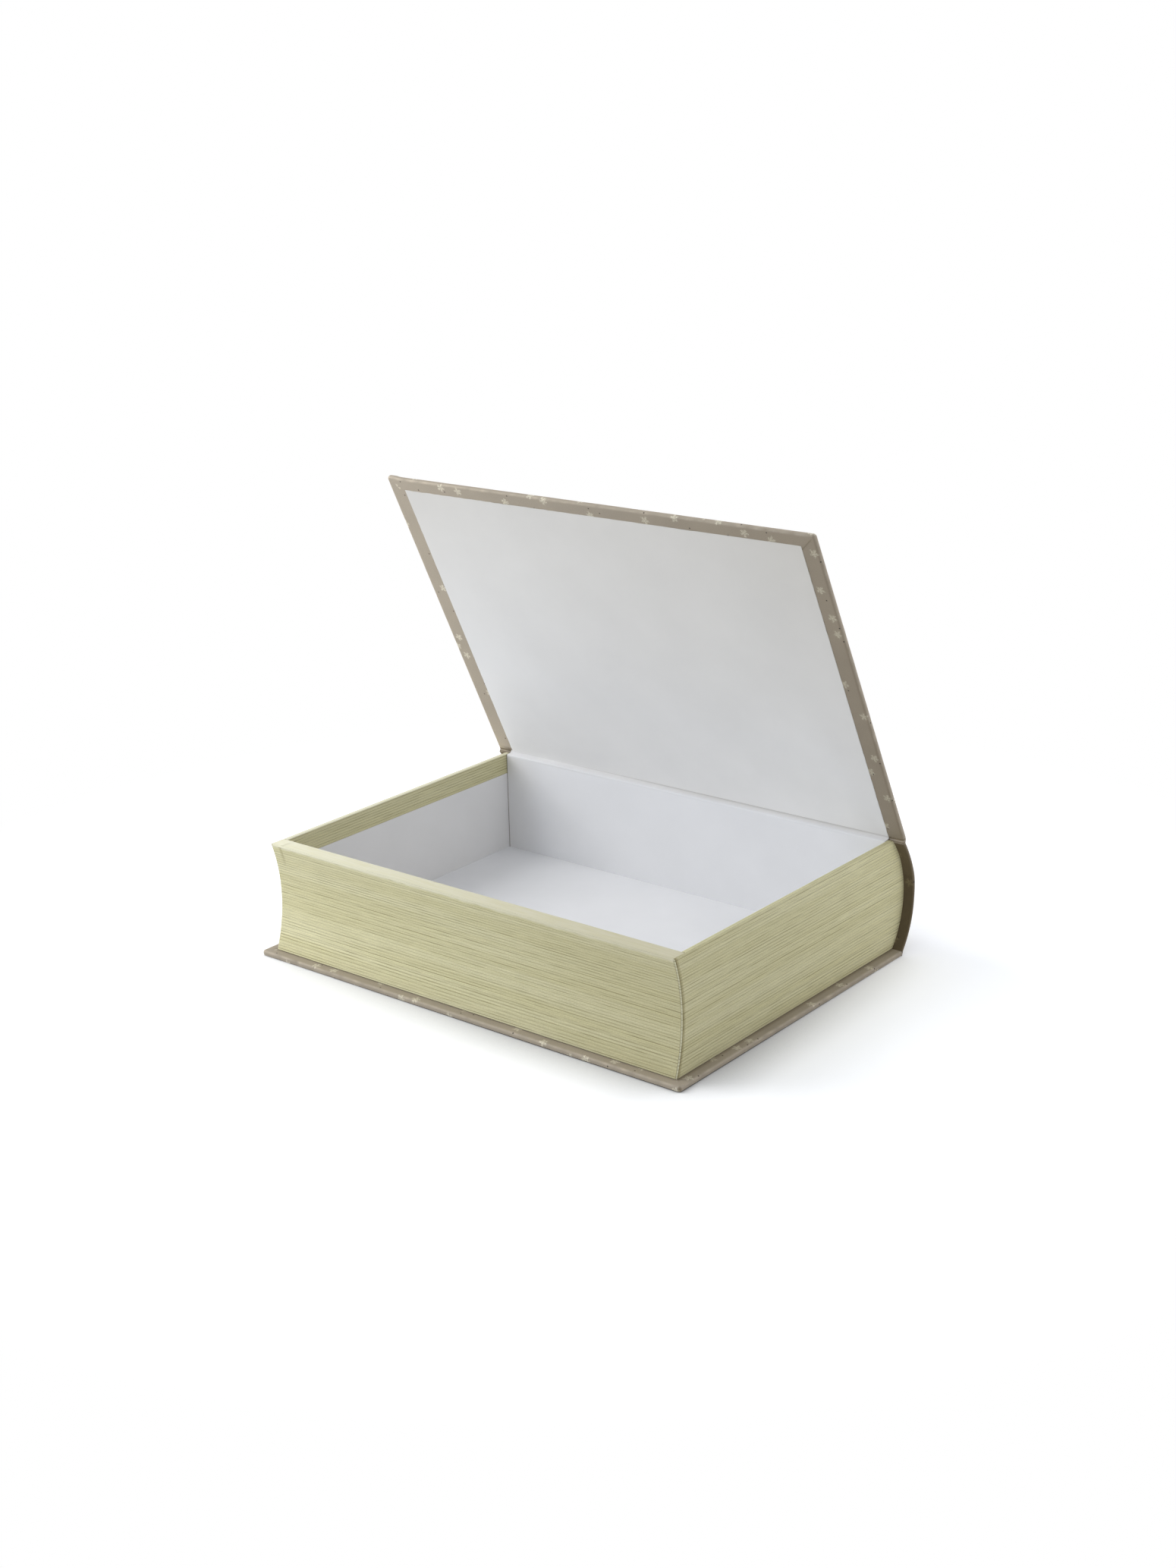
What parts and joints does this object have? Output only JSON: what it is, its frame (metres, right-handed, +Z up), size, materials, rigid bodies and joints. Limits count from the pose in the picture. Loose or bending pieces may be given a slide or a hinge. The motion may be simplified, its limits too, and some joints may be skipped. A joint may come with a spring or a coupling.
{
  "type": "book box",
  "caption": "Rigid paper-covered box in the shape of a bound book: a tray dressed as a block of pages, with hollow fore edge, round spine and a hinged lid that holds shut.",
  "frame": {"origin": "middle of the footprint on the underside of the base, with the lid standing open as in the picture", "axes": "+X along the spine to the right, +Y from the fore edge to the spine, +Z up"},
  "size_m": [0.2694, 0.2018, 0.2348],
  "materials": {
    "greyboard": "raw compressed board",
    "cover_paper": "matte printed paper with small sprigs",
    "page_edge_paper": "matte paper printed with page-edge lines",
    "lining_paper": "smooth white paper",
    "magnet": "nickel-plated",
    "steel_plate": "plain sheet steel"
  },
  "bodies": {
    "box": {"base_board": "greyboard", "base_cover_paper": "cover_paper", "spine_card": "greyboard", "spine_cover_paper": "cover_paper", "lower_joint_paper": "cover_paper", "upper_joint_paper": "cover_paper", "floor_board": "greyboard", "left_end_board": "greyboard", "right_end_board": "greyboard", "back_wall_board": "greyboard", "fore_edge_wall_board": "greyboard", "fore_edge_hollow_card": "greyboard", "fore_edge_rim_board": "greyboard", "left_page_edge_paper": "page_edge_paper", "right_page_edge_paper": "page_edge_paper", "front_page_edge_paper": "page_edge_paper", "floor_lining": "lining_paper", "left_lining": "lining_paper", "right_lining": "lining_paper", "back_lining": "lining_paper", "front_lining": "lining_paper", "hinge_lining": "lining_paper", "left_rim_magnet": "magnet", "right_rim_magnet": "magnet"},
    "lid": {"lid_board": "greyboard", "lid_cover_paper": "cover_paper", "lid_lining": "lining_paper", "left_lid_plate": "steel_plate", "right_lid_plate": "steel_plate"}
  },
  "joints": [
    {"name": "lid_hinge", "type": "hinge", "parent": "box", "child": "lid", "pos_m": [0, 0.09, 0.0612], "axis": [-1, 0, 0], "range_deg": [-64.5, 85.5], "deforming": ["upper_joint_paper", "hinge_lining"]}
  ]
}
